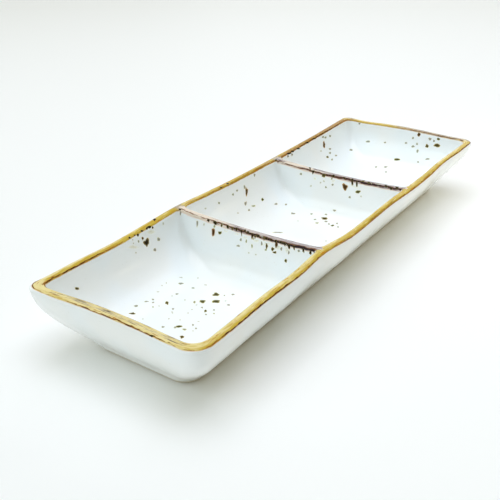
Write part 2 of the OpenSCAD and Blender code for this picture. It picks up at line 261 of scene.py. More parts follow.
class Basin:
    """Columns of one basin with the place on the lip's middle line, or on a crest, that each one faces."""

    def __init__(self, index):
        self.index = index
        self.seg, self.share = ring_columns()
        n = len(self.seg)
        self.x, self.y = basin_plan(index, np.full(n, basin_top_z), self.seg, self.share)
        self.divider, self.lip_seg = np.full(n, -1), np.full(n, -1)
        self.lip_share, self.crest_y, self.to_crest = np.zeros(n), np.zeros(n), np.zeros(n)
        self.sags = np.ones(n)
        for j in range(n):
            self.face(j)
        self.lip_share = np.round(self.lip_share, share_digits)

    def face(self, j):
        """Finds what one column faces."""
        seg, share, x, y = self.seg[j], self.share[j], self.x[j], self.y[j]
        corner = seg // 2
        at_rim = corner_at_rim(self.index, corner)
        if seg % 2 == 0 and at_rim:
            self.lip_seg[j], self.lip_share[j], self.sags[j] = seg, share, 0
        elif seg % 2 == 0:
            self.face_corner(j, corner, share)
        elif seg in (1, 5):
            self.lip_seg[j], self.lip_share[j] = seg, middle_share(x, seg)
        elif at_rim:
            self.lip_seg[j], self.lip_share[j], self.sags[j] = seg, middle_share(y, seg), 0
        else:
            self.divider[j] = self.index if seg == 7 else self.index - 1
            self.crest_y[j], self.to_crest[j] = y, 1

    def face_corner(self, j, corner, share):
        """Lets the half of a divider's corner by the divider face the crest, and the other half the lip."""
        divider = self.index if corner in (0, 3) else self.index - 1
        along = share if corner in (0, 2) else 1 - share
        self.to_crest[j] = held(1 - along)
        on_corner = self.seg == 2 * corner
        xs, ys = self.x[on_corner], self.y[on_corner]
        sign, side = (1, 1) if corner < 2 else (-1, 5)
        if along < 0.5:
            self.divider[j] = divider
            self.crest_y[j] = blend(ys[np.argmin(abs(ys))], sign * (rim_w / 2 - lip_w / 2), 2 * along)
        else:
            target_x = blend(divider_xs[divider], xs[np.argmax(abs(ys))], 2 * along - 1)
            self.lip_seg[j], self.lip_share[j] = side, middle_share(target_x, side)

    def targets(self):
        """Points on the lip's middle line or on a crest's top, one for each column."""
        on_lip = self.divider < 0
        points = lip_row(lip_middle, 0, self.lip_seg, self.lip_share)
        dx = np.array(divider_xs)[np.maximum(self.divider, 0)]
        across = np.minimum((rim_w / 2 - abs(self.crest_y)) / lip_w, 1)
        wx, wy = waved(dx, self.crest_y, 1, across)
        wz = rim_h + rise(dx, self.crest_y) - sag(self.crest_y)
        crest = np.stack([wx, wy, wz], 1)
        return np.where(on_lip[:, None], points, crest)

    def rows(self):
        """Rows of points from the top line down to the floor, and how far across the glaze each lies."""
        target = self.targets()
        wx, wy = waved(self.x, self.y, 1, 1)
        top = rim_h + rise(self.x, self.y) - self.sags * sag(self.y)
        mouth_top = np.stack([wx, wy, top], 1)
        width = np.linalg.norm((target - mouth_top)[:, :2], axis=1)
        narrowing = np.minimum(lip_w / 2 / width, 1)
        round_w = blend(lip_edge_r, crest_w / 2 * crest_edge_share, self.to_crest)
        round_h = blend(lip_edge_r, crest_round, self.to_crest)
        rows, across = [target], [np.zeros(len(width))]
        for j in range(edge_steps + 1):
            turn = math.radians(90 * (1 - j / edge_steps))
            inward = round_w * (1 - math.cos(turn))
            point = mouth_top + (target - mouth_top) * (inward / width)[:, None]
            point[:, 2] -= round_h * (1 - math.sin(turn))
            across.append(across[-1] + narrowing * np.linalg.norm(point - rows[-1], axis=1))
            rows.append(point)
        skirt = blend(band_in_drop - lip_edge_r, crest_drop - crest_round, self.to_crest)
        skirt_top = top - round_h - skirt
        for i in range(wall_steps, -1, -1):
            share = 1 - math.cos(math.radians(90 * i / wall_steps))
            z = floor_z + (skirt_top - floor_z) * share
            px, py = basin_plan(self.index, z, self.seg, self.share)
            level = basin_level(z)
            wx, wy = waved(px, py, level, level)
            rows.append(np.stack([wx, wy, z], 1))
            across.append(across[-1] + np.linalg.norm(rows[-1] - rows[-2], axis=1))
        floor_edge = rows[-1]
        middle = floor_edge.mean(0)
        for shrink in floor_shrink_shares:
            rows.append(middle + (floor_edge - middle) * shrink)
            across.append(across[-1])
        return rows, across


def gather_lip_columns(basins):
    """Segment and share of every column round the whole dish, in order."""
    columns = set()
    for basin in basins:
        on_lip = basin.divider < 0
        columns |= set(zip(basin.lip_seg[on_lip].tolist(), basin.lip_share[on_lip].tolist()))
    seg, share = zip(*sorted(columns))
    return np.array(seg), np.array(share)


def foot_plan(inset, seg, share):
    """Plan of the foot ring's outline, at a distance in. The wall's lower edge is foot_edge outside it."""
    end = foot_l / 2 - inset
    return rounded(-end, end, foot_w / 2 - inset, [foot_corner_r - inset] * 4, seg, share)


def wall_row(level, seg, share):
    """Row on the outer wall at a level from 0 at the foot to 1 at the rim band."""
    hx, hy = lip_plan(0, seg, share)
    lx, ly = foot_plan(-foot_edge, seg, share)
    swell_high = blend(swell_high_near, swell_high_far, held(0.5 + hx / rim_l))
    inward = (1 - level ** swell_low) ** swell_high
    x, y = blend(hx, lx, inward), blend(hy, ly, inward)
    wx, wy = waved(x, y, level)
    return np.stack([wx, wy, blend(foot_h, wall_top_z + rise(x, y), level)], 1)


def outside_rows(seg, share):
    """Rows from the middle of the underside out, up the wall and over the lip to its middle line, and how
    many of them lie below the rim band."""
    n = len(seg)
    inner = foot_plan(underside_edge_r - foot_edge, seg, share)
    rows = [np.stack([inner[0] * shrink, inner[1] * shrink, np.full(n, foot_h)], 1)
            for shrink in reversed(floor_shrink_shares)]
    for j in range(underside_steps):
        turn = math.radians(90 * j / underside_steps)
        x, y = foot_plan(underside_edge_r * (1 - math.sin(turn)) - foot_edge, seg, share)
        rows.append(np.stack([x, y, np.full(n, foot_h + underside_edge_r * (1 - math.cos(turn)))], 1))
    first = underside_edge_r / (wall_top_z - foot_h)
    for j in range(outer_steps + 1):
        rows.append(wall_row(blend(first, 1, (j / outer_steps) ** outer_crowding), seg, share))
    below_band = len(rows)
    for j in range(edge_steps + 1):
        turn = math.radians(90 * j / edge_steps)
        inward = lip_edge_r / lip_w * (1 - math.cos(turn))
        rows.append(lip_row(inward, -lip_edge_r * (1 - math.sin(turn)), seg, share))
    rows += [lip_row(across, 0, seg, share) for across in lip_top_shares]
    return rows, below_band


class Skin:
    """One continuous surface of the dish, later cut into the pieces that replace the CAD nodes."""

    def __init__(self):
        self.points, self.along, self.across = [], [], []
        self.faces = {}

    def add_rows(self, rows, along, across):
        """Adds rows of equally many points and returns the index of the first point of each row."""
        starts = []
        for row, over in zip(rows, across):
            starts.append(len(self.points))
            self.points += [tuple(p) for p in row]
            self.along += list(along)
            self.across += list(np.broadcast_to(over, len(row)))
        return starts

    def face(self, piece, *corners):
        self.faces.setdefault(piece, []).append(corners)

    def welded(self, node):
        """Faces of a node by welded points, without those that the weld has closed."""
        faces = [[int(self.weld[c]) for c in face] for face in self.faces[node]]
        faces = [[c for i, c in enumerate(face) if c != face[i - 1]] for face in faces]
        return [face for face in faces if len(face) > 2]

    def finish(self):
        """Welds equal points, so that normals run smoothly over every border between pieces."""
        raw = np.array(self.points)
        keys, self.weld = np.unique(np.round(raw, weld_digits), axis=0, return_inverse=True)
        self.weld = self.weld.reshape(-1)
        self.at = np.zeros((len(keys), 3))
        self.at[self.weld] = np.clip(raw, *(np.array(corner) / MM for corner in cad_box))
        self.all_faces, self.owners = [], []
        for node in self.faces:
            faces = self.welded(node)
            self.all_faces += faces
            self.owners += [node] * len(faces)
        normals = np.zeros_like(self.at)
        for face in self.all_faces:
            diagonal_a = self.at[face[2]] - self.at[face[0]]
            diagonal_b = self.at[face[-1]] - self.at[face[1]]
            normals[face] += np.cross(diagonal_a, diagonal_b)
        self.normals = normals / np.maximum(np.linalg.norm(normals, axis=1), tiny)[:, None]
        self.tree = BVHTree.FromPolygons([Vector(p) for p in self.at], self.all_faces)

    def surface(self, index, location):
        """Smooth normal at a location on a face."""
        corners = self.all_faces[index]
        weights = 1 / (np.linalg.norm(self.at[corners] - np.array(location), axis=1) + weight_floor)
        normal = (self.normals[corners] * weights[:, None]).sum(0)
        return normal / np.linalg.norm(normal)

    def nearest(self, point):
        """Nearest place on the skin, its smooth normal and the node it belongs to."""
        location, _, index, _ = self.tree.find_nearest(Vector(point))
        return np.array(location), self.surface(index, location), self.owners[index]

    def seen_at(self, origin, ray):
        """Place on the skin that a ray meets first, and its smooth normal."""
        location, _, index, _ = self.tree.ray_cast(origin, ray)
        return None if location is None else (np.array(location), self.surface(index, location))


def add_outside(skin, lip_seg, lip_share):
    """Adds the outside and returns the distance along the lip at each of its columns."""
    rows, below_band = outside_rows(lip_seg, lip_share)
    n = len(lip_seg)
    middle_line = rows[-1]
    steps = np.linalg.norm(np.roll(middle_line, -1, 0) - middle_line, axis=1)
    along = np.concatenate([[0], np.cumsum(steps)[:-1]])
    across = [np.zeros(n)]
    for outer, inner in zip(reversed(rows[:-1]), reversed(rows[1:])):
        across.append(across[-1] - np.linalg.norm(outer - inner, axis=1))
    across.reverse()
    starts = skin.add_rows(rows, along, across)
    for upper, (a, b) in enumerate(zip(starts, starts[1:]), 1):
        piece = "dish_shell" if upper < below_band else "rim_band"
        for i in range(n):
            k = (i + 1) % n
            skin.face(piece, a + i, a + k, b + k, b + i)
    centre = skin.add_rows([[(0, 0, foot_h)]], [0.0], [0.0])[0]
    for i in range(n):
        skin.face("dish_shell", starts[0] + (i + 1) % n, starts[0] + i, centre)
    return dict(zip(zip(lip_seg.tolist(), lip_share.tolist()), along))


def add_basin(skin, basin, along_at):
    """Adds the inside of one basin, from the lip and the crests down to the floor."""
    rows, across = basin.rows()
    n = len(basin.seg)
    along = [along_at.get((int(s), float(t)), 0.0) for s, t in zip(basin.lip_seg, basin.lip_share)]
    starts = skin.add_rows(rows, along, across)
    floor_start = glaze_rows + 1 + wall_steps
    for r, (a, b) in enumerate(zip(starts, starts[1:])):
        for i in range(n):
            k = (i + 1) % n
            divider = max(basin.divider[i], basin.divider[k])
            piece = "dish_shell"
            if r < glaze_rows:
                piece = "rim_band" if divider < 0 else ("near_divider_crest", "far_divider_crest")[divider]
            elif divider >= 0 and r < floor_start:
                if abs(rows[r][i][0] - divider_xs[divider]) < seat_half:
                    piece = ("near_divider", "far_divider")[divider]
            skin.face(piece, a + i, a + k, b + k, b + i)
    centre = skin.add_rows([[rows[-1].mean(0)]], [0.0], [0.0])[0]
    for i in range(n):
        skin.face("dish_shell", starts[-1] + i, starts[-1] + (i + 1) % n, centre)


def build_skin():
    """The whole dish as one closed skin: its outside and its three basins."""
    skin = Skin()
    basins = [Basin(index) for index in range(len(divider_xs) + 1)]
    lip_seg, lip_share = gather_lip_columns(basins)
    along_at = add_outside(skin, lip_seg, lip_share)
    for basin in basins:
        add_basin(skin, basin, along_at)
    skin.finish()
    return skin


# Pieces

def add_object(name, data):
    """A new object in the scene."""
    made = bpy.data.objects.new(name, data)
    bpy.context.scene.collection.objects.link(made)
    return made


def smooth_mesh(name, points, faces):
    """Smooth mesh from points in millimetres."""
    mesh = bpy.data.meshes.new(name)
    mesh.from_pydata([Vector(p) * MM for p in points], [], faces)
    mesh.polygons.foreach_set("use_smooth", [True] * len(faces))
    return mesh


def make_mesh(name, points, faces, normals, attributes):
    """Object with smooth custom normals and named attributes of three or four values at each point."""
    mesh = smooth_mesh(name, points, faces)
    for key, values in attributes.items():
        kind, field = ("FLOAT_VECTOR", "vector") if values.shape[1] == 3 else ("FLOAT_COLOR", "color")
        attribute = mesh.attributes.new(key, kind, "POINT")
        attribute.data.foreach_set(field, np.ascontiguousarray(values, np.float32).ravel())
    mesh.normals_split_custom_set_from_vertices([Vector(v) for v in normals])
    return add_object(name, mesh)


def cut_piece(skin, name, node, paint):
    """The part of the skin that stands for one CAD node."""
    faces = skin.welded(node)
    used = sorted({c for face in faces for c in face})
    order = {c: i for i, c in enumerate(used)}
    first = {}
    for face in skin.faces[node]:
        for c in face:
            first.setdefault(int(skin.weld[c]), c)
    along = np.array([skin.along[first[c]] for c in used])
    across = np.array([skin.across[first[c]] for c in used])
    points = skin.at[used]
    attributes = {"paint": paint(points, along, across)} if paint else {}
    attributes["rim_place"] = np.stack([along, across, np.zeros(len(used))], 1)
    faces = [[order[c] for c in face] for face in faces]
    piece = make_mesh(name, points, faces, skin.normals[used], attributes)
    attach(piece, "root")
    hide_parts(node)
    return piece


# Painted glaze: strengths from the photograph

# Four tables round the rim: the right and the left side from the near end to the far end, and the near
# and the far end from right to left
outer_lines = ([0.6, 1.2, 1.3, 1, 0.6, 0.8, 0.6, 0.7, 0.8, 0.65, 0.9, 1.15, 1.25],
               [0.6, 0.2, 0.1, 0.2, 0.1, 0, 0.3, 0.5, 0, 0.2, 0.1, 0.1, 0.5],
               [0.4, 0.6, 1, 0.9, 0.8, 0.4, 1.1], [0.8, 0.7, 0.8, 0.5, 0.3, 0.6, 0.6])
inner_lines = ([0.1, 0.25, 0.2, 0.3, 0.2, 0.3, 0.2, 0.2, 0.3, 0.2, 0.3, 0.2, 0.3],
               [1, 1, 0.6, 0.3, 0.35, 0.6, 0.3, 0.5, 0.7, 0.9, 1.15, 1.1, 0.4],
               [0.1, 0.1, 0.3, 0.2, 0.3, 0.15, 0.7], [1.5, 1.6, 1.4, 0.7, 0.3, 0.5, 0.9])
end_violets = ([0, 0], [0, 0], [0.1, 0.55, 0.6, 0.65, 0.65, 0.4, 0.1], [0.7, 1, 1, 0.75, 0.3, 0.1, 0.8])
golds = ([0.5, 0.5, 0.45, 0.5, 0.65, 0.85, 0.9, 0.85, 0.85, 0.9, 0.6, 0.8, 0.7],
         [0.55, 0.7, 0.75, 0.75, 0.85, 0.95, 1.15, 1.25, 1.4, 1.6, 1.8, 1.9, 1.6],
         [0.3, 0.2, 0.15, 0.15, 0.15, 0.15, 0.25], [0.4, 0.5, 0.7, 0.8, 0.7, 0.5, 0.7])
# Distances from an end of the dish at which its tables begin to count, and count alone
end_paint_start, end_paint_full = 7, 2

# One value for each side of the rim: right, left, near and far
inner_line_places = (1.5, 1.5, 1.5, 1)
# Painted highlight: the inner white comes in sooner on the right side and near end, where the inner half of
# the lip catches the light
painted_highlight_sides = (1, 0, 0.6, 0)
outside_white_drops = (0, 0.4, 0, 0)
edge_violets = (0.8, 0, 0.7, 0)
# Painted highlight and shade: one half of each side of the lip is paler and the other deeper gold, as light
# falls on it
painted_light_tilts = (-0.5, 0.65, -0.15, 0.5)

# Places and half widths across the rim's glaze, inwards from the lip's middle line
outer_line_place, outer_line_half, inner_line_half = -1.9, 0.32, 0.36
inside_white_starts, inside_white_ends, outside_white = (1.75, 1.2), (2.35, 2.4), (1.95, 2.65)
near_violet, edge_violet = (-1.5, -0.2), (1.7, 0.4)
divider_violet, divider_violet_half = 0.95, 3.4
# Width and limits of the painted highlight and shade across the lip
painted_light_tilt_w, painted_light_tilt_limits = 1.8, (-1, 0.5)

# Crests: two tables from right to left, for the near and the far divider
crest_violet = ([1, 0.95, 0.8, 0.75, 0.5, 0.2, 0.25], [0.7, 1, 1, 0.85, 0.6, 0.25, 0.6])
crest_line = ([1.3, 1.3, 1.2, 1.15, 1.05, 0.8, 0.8], [1.1, 1.25, 1.3, 1.25, 1, 0.75, 0.8])
crest_back_line = ([0.5, 0.6, 0.4, 0.5, 0.3, 0.4, 0.5], [0.4, 0.5, 0.6, 0.4, 0.5, 0.3, 0.5])

# Places and half widths across a crest's glaze, down from its middle line
front_line_place, front_line_half, front_line_swell = 1.9, 0.3, 0.3
right_line_drop, right_line_swell, line_rises = 0.3, 0.45, (0.65, 0.35)
back_line_place, back_line_half = 1.8, 0.4
front_white, back_white, back_violet = (2.6, 3.5), (1.8, 2.8), (-2.4, -1.0)

# Shares of the way from the middle of a crest to its right end, between which its line drops and swells
drop_range, swell_range = (0, 0.9), (-0.8, 0.2)

# The same for its rise, to the left on the near crest and to the right on the far one
rise_ways, rise_ranges = (1, -1), ((-0.4, 0.5), (-0.3, 0.3))

# Ends of a crest on the lip: where its paint fades into the rim's, and what is left there
lip_paint_start, lip_paint_full = 0.3, 1.4
lip_gold_left, lip_gold_right, lip_line_loss = 0.5, 0.9, 0.8

# Sideways wander of the painted lines: reach, and the rate and start of each wave
line_wander = 0.28
wander_waves = [(0.31, 0.4), (0.83, 2.1), (1.9, 4.4)]


def bell(value, middle, width):
    return np.exp(-((value - middle) / width) ** 2)


def ramp(value, low, high):
    t = held((value - low) / (high - low))
    return t * t * (3 - 2 * t)


def wandering(along):
    """Sideways wander of the painted lines, for a distance along them."""
    return line_wander * sum(np.sin(rate * along + start) for rate, start in wander_waves) / len(wander_waves)


def round_the_rim(points, tables):
    """Strength at each point of the rim from the tables of its four sides."""
    right, left, near, far = tables
    x, y = points[:, 0], points[:, 1]
    u, v = held(0.5 + x / rim_l), held(0.5 + y / rim_w)
    side = np.where(y > 0, swing(left, u), swing(right, u))
    end = np.where(x < 0, swing(near, v), swing(far, v))
    return blend(side, end, ramp(abs(x), rim_l / 2 - end_paint_start, rim_l / 2 - end_paint_full))


def side_values(points, values):
    """One value for each side of the rim, blended at its corners."""
    return round_the_rim(points, [[value] * 2 for value in values])


def paint_rim(points, along, across):
    """Dark line, white, violet and gold of the rim's glaze, with a painted highlight and painted shade on the
    halves of the lip.
    """
    x, y = points[:, 0], points[:, 1]
    shift = wandering(along)
    outer = round_the_rim(points, outer_lines) * bell(across, shift + outer_line_place, outer_line_half)
    inner_place = shift + side_values(points, inner_line_places)
    inner = round_the_rim(points, inner_lines) * bell(across, inner_place, inner_line_half)
    # Painted highlight: on the right side and near end the inner white comes in sooner
    pale = side_values(points, painted_highlight_sides)
    inside = ramp(across, blend(*inside_white_starts, pale), blend(*inside_white_ends, pale))
    outside = ramp(-across - side_values(points, outside_white_drops), *outside_white)
    violet = round_the_rim(points, end_violets) * np.where(x < 0, ramp(across, *near_violet), 1)
    violet = np.maximum(violet, side_values(points, edge_violets) * bell(across, *edge_violet))
    for divider_x in divider_xs:
        violet = np.maximum(violet, divider_violet * bell(x, divider_x, divider_violet_half) * (y > 0))
    # Painted highlight and shade: the gold deepens on one half of the lip and thins on the other, by side
    tilt = side_values(points, painted_light_tilts) * np.clip(across / painted_light_tilt_w, *painted_light_tilt_limits)
    gold = round_the_rim(points, golds) + tilt
    return np.stack([np.maximum(outer, inner), np.maximum(inside, outside), violet, gold], 1)


def paint_crest(divider):
    """Painter of the dark line, white, violet and gold of one divider's crest."""
    def paint(points, along, across):
        y = points[:, 1]
        to_left = y / reach
        table_share = held(0.5 + to_left / 2)
        shift = wandering(y)
        front = points[:, 0] < divider_xs[divider]
        to_right = ramp(-to_left, *drop_range) * (divider == 0)
        high = line_rises[divider] * ramp(rise_ways[divider] * to_left, *rise_ranges[divider])
        place = front_line_place + right_line_drop * to_right - high
        swell = front_line_swell * ramp(-to_left, *swell_range)
        half = front_line_half + swell + right_line_swell * to_right
        front_line = swing(crest_line[divider], table_share) * bell(across, place + shift, half)
        back_bell = bell(across, back_line_place + shift, back_line_half)
        back_line = swing(crest_back_line[divider], table_share) * back_bell
        on_lip = ramp(abs(y), reach + lip_paint_start, reach + lip_paint_full)
        line = np.where(front, front_line, back_line) * (1 - lip_line_loss * on_lip)
        white = np.where(front, ramp(across + high, *front_white), ramp(across, *back_white)) * (1 - on_lip)
        violet = swing(crest_violet[divider], table_share) * np.where(front, 1, ramp(-across, *back_violet))
        violet = violet * (1 - on_lip * (y <= 0))
        gold = on_lip * np.where(y > 0, lip_gold_left, lip_gold_right)
        return np.stack([line, white, violet, gold], 1)
    return paint


# Foot ring

def add_foot_ring():
    """The low ring under the dish, with smooth flanks and a flat bare sole."""
    seg, share = ring_columns()
    n = len(seg)
    margin = (foot_ring_w - foot_sole_w) / 2
    steps = [k / flank_steps for k in range(flank_steps + 1)]
    flank = [(margin * step, foot_h * (1 - step) ** flank_power) for step in steps]
    section = flank + [(foot_ring_w - inset, z) for inset, z in reversed(flank)]
    points, faces = [], []
    for row, (inset, z) in enumerate(section):
        x, y = foot_plan(inset, seg, share)
        points += [(px, py, z) for px, py in zip(x, y)]
        below = (row + 1) % len(section)
        for i in range(n):
            k = (i + 1) % n
            faces.append((row * n + k, row * n + i, below * n + i, below * n + k))
    mesh = smooth_mesh("foot_ring_clay", points, faces)
    mesh.set_sharp_from_angle(angle=math.radians(foot_sharp_angle))
    piece = add_object("foot_ring_clay", mesh)
    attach(piece, "root")
    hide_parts("foot_ring")
    return piece


# Directions and camera

def direction(heading, height):
    """Unit vector at a heading and a height in degrees."""
    turn, tilt = math.radians(heading), math.radians(height)
    return Vector((math.cos(tilt) * math.cos(turn), math.cos(tilt) * math.sin(turn), math.sin(tilt)))


def turned(azimuth, elevation, roll):
    """Right, up and back of a camera that looks from an azimuth and an elevation."""
    level = math.cos(elevation)
    back = Vector((math.sin(azimuth) * level, -math.cos(azimuth) * level, math.sin(elevation)))
    right = (-back).cross(Vector((0, 0, 1))).normalized()
    up = right.cross(-back)
    return right * math.cos(roll) + up * math.sin(roll), up * math.cos(roll) - right * math.sin(roll), back


view_right, view_up, view_back = turned(camera_azimuth, camera_elevation, camera_roll)


def pixel_ray(u, v):
    """Direction from the camera through a pixel of the photograph."""
    middle = image_size / 2
    over, up = (u - middle) / camera_focal, (middle - v) / camera_focal
    return (-view_back + view_right * over + view_up * up).normalized()


def add_camera():
    data = bpy.data.cameras.new("camera")
    data.sensor_width = sensor_w
    data.lens = camera_focal / image_size * sensor_w
    data.clip_start, data.clip_end = clip_near, clip_far
    camera = add_object("camera", data)
    turn = Matrix((view_right, view_up, view_back)).transposed().to_4x4()
    camera.matrix_world = Matrix.Translation(camera_at * MM) @ turn
    bpy.context.scene.camera = camera


# Iron speckles and drips

# Kinds of spot: strength, brownness and deepest shade
faint, plain, olive, dark = (0.5, 0.1, 0.6), (0.75, 0.2, 0.85), (0.85, 0.0, 0.55), (1.0, 0.3, 1.0)
brown, deep, stain = (1.0, 0.9, 1.0), (1.0, 0.45, 1.25), (0.4, 0.15, 0.3)
hanging_kinds = (deep, brown)
hidden_kinds = [plain, plain, olive, dark, faint]

# Rings of a spot from its middle out: share of its size, depth of shade and lift over the skin
spot_rings = [(0.5, 0.9, 0.05), (0.85, 0.5, 0.04), (1.45, 0.0, -0.02)]
spot_points = 16

# Numbers of lobes round a spot's outline, with how far each may swell it
spot_lobes = [(2, 0.14), (3, 0.18), (4, 0.14), (6, 0.08)]
least_lobe, tint_spread, drip_taper, spot_taper = 0.3, 0.2, 0.35, 0.5
painted_nodes = ("rim_band", "near_divider_crest", "far_divider_crest")
pale_depth, painted_sink = 0.4, -0.15
reach_limit, least_facing = 5.0, 0.1
hidden_sizes, hidden_stretch, least_slope = (0.35, 0.9), (0.8, 1.8), 0.2


class Speckles:
    """Group of small spots of iron glaze that lie on the skin."""

    def __init__(self, skin, seed):
        self.skin = skin
        self.random = random.Random(seed)
        self.points, self.normals, self.faces, self.spots = [], [], [], []

    def lay(self, point, lift, spot):
        """A point laid on the skin. The pale part of a spot sinks under painted glaze."""
        location, normal, owner = self.skin.nearest(point)
        if spot[0] < pale_depth and owner in painted_nodes:
            lift = painted_sink
        self.points.append(location + normal * lift)
        self.normals.append(normal)
        self.spots.append(spot)
        return len(self.points) - 1

    def add(self, centre, across, down, kind, on_rim=False):
        """One ragged spot with its half axes in millimetres."""
        upright = np.cross(across, down) @ self.skin.nearest(centre)[1] > 0
        down = down if upright else -down
        strength, tint, deepest = kind
        draw = self.random.uniform
        tint = min(max(tint + draw(-tint_spread, tint_spread), 0), 1)
        waves = [(k, size * draw(least_lobe, 1), draw(0, 2 * math.pi)) for k, size in spot_lobes]
        taper = drip_taper if kind in hanging_kinds else draw(-spot_taper, spot_taper) * drip_taper
        taper = taper if upright else -taper
        share_lift = min(deepest, 1)
        middle = self.lay(centre, spot_rings[0][2] * share_lift, (deepest, tint, strength, on_rim))
        rings = []
        for share, depth, lift in spot_rings:
            ring = []
            for i in range(spot_points):
                turn = 2 * math.pi * i / spot_points
                size = share * (1 + sum(a * math.sin(k * turn + start) for k, a, start in waves))
                width = size * math.cos(turn) * (1 - taper * math.sin(turn))
                point = centre + across * width + down * size * math.sin(turn)
                ring.append(self.lay(point, lift * share_lift, (depth * deepest, tint, strength, on_rim)))
            rings.append(ring)
        for i in range(spot_points):
            k = (i + 1) % spot_points
            self.faces.append((middle, rings[0][i], rings[0][k]))
            for inner, outer in zip(rings, rings[1:]):
                self.faces.append((inner[i], outer[i], outer[k], inner[k]))

    def add_seen(self, u, v, wide, tall, kind, on_rim):
        """A spot that covers a place of the photograph, on whatever surface is seen there."""
        middle_ray = pixel_ray(u, v)
        hit = self.skin.seen_at(camera_at, middle_ray)
        if hit is None or abs(hit[1] @ np.array(middle_ray)) < least_facing:
            return
        centre, normal = hit
        eye = np.array(camera_at)

        def on_plane(pu, pv):
            ray = np.array(pixel_ray(pu, pv))
            point = eye + ray * (((centre - eye) @ normal) / (ray @ normal))
            away = point - centre
            return centre + away * min(1, reach_limit / max(np.linalg.norm(away), tiny))

        across = (on_plane(u + wide / 2, v) - on_plane(u - wide / 2, v)) / 2
        down = (on_plane(u, v + tall / 2) - on_plane(u, v - tall / 2)) / 2
        self.add(centre, across, down, kind, on_rim)

    def splash(self, origin, heading, pitch, count):
        """Spots where seeded random directions from a place meet the skin."""
        for _ in range(count):
            ray = direction(self.random.uniform(*heading), self.random.uniform(*pitch))
            hit = self.skin.seen_at(Vector(origin), ray)
            if hit is None:
                continue
            centre, normal = hit
            level = np.cross(normal, (0.0, 0.0, 1.0))
            slope = np.linalg.norm(level)
            level = np.array((1.0, 0.0, 0.0)) if slope < least_slope else level / slope
            size = self.random.uniform(*hidden_sizes)
            down = np.cross(normal, level) * size * self.random.uniform(*hidden_stretch)
            self.add(centre, level * size, down, self.random.choice(hidden_kinds))

    def piece(self, name, material):
        piece = make_mesh(name, self.points, self.faces, self.normals, {"spot": np.array(self.spots, float)})
        piece.data.materials.append(material)
        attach(piece, "root")


# Places of the photograph in pixels: across, down, width, height and kind of each spot
near_basin_spots = [
    (166.3, 283, 1.8, 1.4, faint), (158, 291.8, 3, 1.2, faint), (168.8, 318.8, 1.8, 1.4, faint),
    (162, 285.5, 1.6, 1.2, faint), (185, 300, 2, 1.4, faint), (192, 309.5, 2, 1.3, faint),
    (172, 312, 1.8, 1.3, faint), (181, 277.5, 4, 1.2, faint), (181, 283.5, 5, 1.8, plain),
    (198, 278, 2, 1.2, faint), (193, 288, 3, 1.4, plain), (205.5, 285, 4, 1.2, faint),
    (177, 294, 3, 1.4, plain), (172, 296, 2, 1.2, faint), (216, 294.5, 6, 3, dark),
    (224.5, 295.5, 1.5, 1.2, plain), (233, 294.5, 3, 1.6, plain), (194.5, 302, 3, 2.4, olive),
    (202.5, 301.5, 5, 3, dark), (216, 301.5, 7, 3, dark), (225.5, 301, 3, 1, faint),
    (228.5, 305, 3, 1.6, plain), (196.5, 305, 2.5, 1, faint), (202, 307.5, 2, 1.6, plain),
    (205.5, 311, 2.4, 2.4, dark), (206, 314.5, 2, 1.4, plain), (214, 310, 2, 1.6, plain),
    (214, 313.5, 2, 1.6, olive), (167, 303, 3, 3, dark), (173, 309, 2.2, 1.6, plain),
    (172.5, 313, 2, 1.2, faint), (188, 313, 2, 1.2, faint), (180, 320, 2, 1.2, faint),
    (146.5, 301.5, 4, 1.2, plain), (153, 299.5, 2.4, 1.4, plain), (153, 302.5, 2, 1.4, plain),
    (153, 307, 2, 1.4, olive), (159, 306, 2, 1.2, faint), (136, 306, 4, 1.8, plain),
    (132.5, 313.5, 5, 2, dark), (143, 319, 2, 1.2, faint), (163, 327, 3, 1.8, plain),
    (175, 327.5, 2.4, 1.8, plain), (179, 326.5, 6, 2, dark), (184.5, 329.5, 4, 2.4, olive),
    (182, 337, 4, 2.4, dark), (193, 325, 2, 1.6, plain), (196, 328.5, 2, 1.4, plain),
    (193, 331, 1.6, 1.2, faint), (198.5, 321.5, 2.4, 1, faint), (77, 288.5, 4, 2.4, dark),
    (138.5, 241.4, 1.6, 2.6, plain), (132.6, 239.6, 1.6, 2, faint), (133.4, 243.2, 1.6, 1.6, faint),
    (142.7, 238.5, 1.8, 3, brown), (146.5, 242.6, 4.4, 7.4, deep), (146.5, 243, 6, 9, stain),
    (158.6, 239.4, 2.8, 3.2, plain), (154.8, 249.7, 2.8, 2.8, plain), (135.9, 252.7, 1.8, 1.6, faint),
    (163.2, 223.6, 1.6, 3.6, faint), (151, 232, 8, 5, stain), (133, 247, 10, 4, stain),
]
